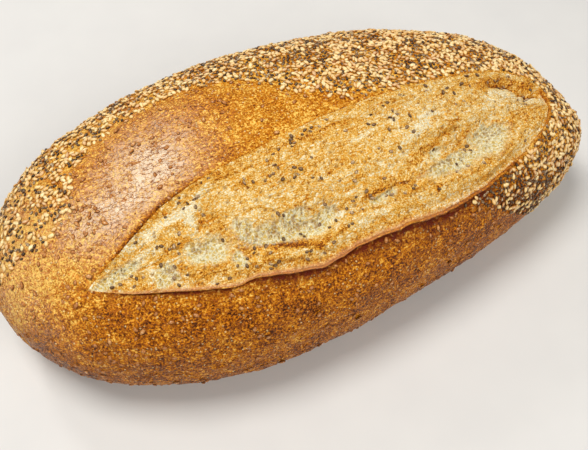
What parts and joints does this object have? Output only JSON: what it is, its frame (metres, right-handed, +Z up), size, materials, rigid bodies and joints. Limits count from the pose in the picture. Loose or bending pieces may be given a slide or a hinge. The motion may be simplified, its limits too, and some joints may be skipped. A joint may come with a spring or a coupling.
{
  "type": "seeded spelt sourdough bread loaf",
  "caption": "Long oval sourdough bread loaf with a brown crust, one long torn cut along the top with a crisp lip, and small seeds over the back and both ends.",
  "frame": {"origin": "under the middle of the loaf, on the surface it stands on", "axes": "+X along the loaf towards its right end, +Y towards the seeded back, +Z up through the torn cut"},
  "size_m": [0.295, 0.1605, 0.0877],
  "materials": {
    "crust": "golden brown baked crust with a soft sheen",
    "crumb": "dull torn dough, pale where the crumb shows",
    "sesame": "toasted seed, satin",
    "chia": "dark mottled seed, satin"
  },
  "bodies": {
    "root": {"loaf": "crust"}
  },
  "joints": []
}
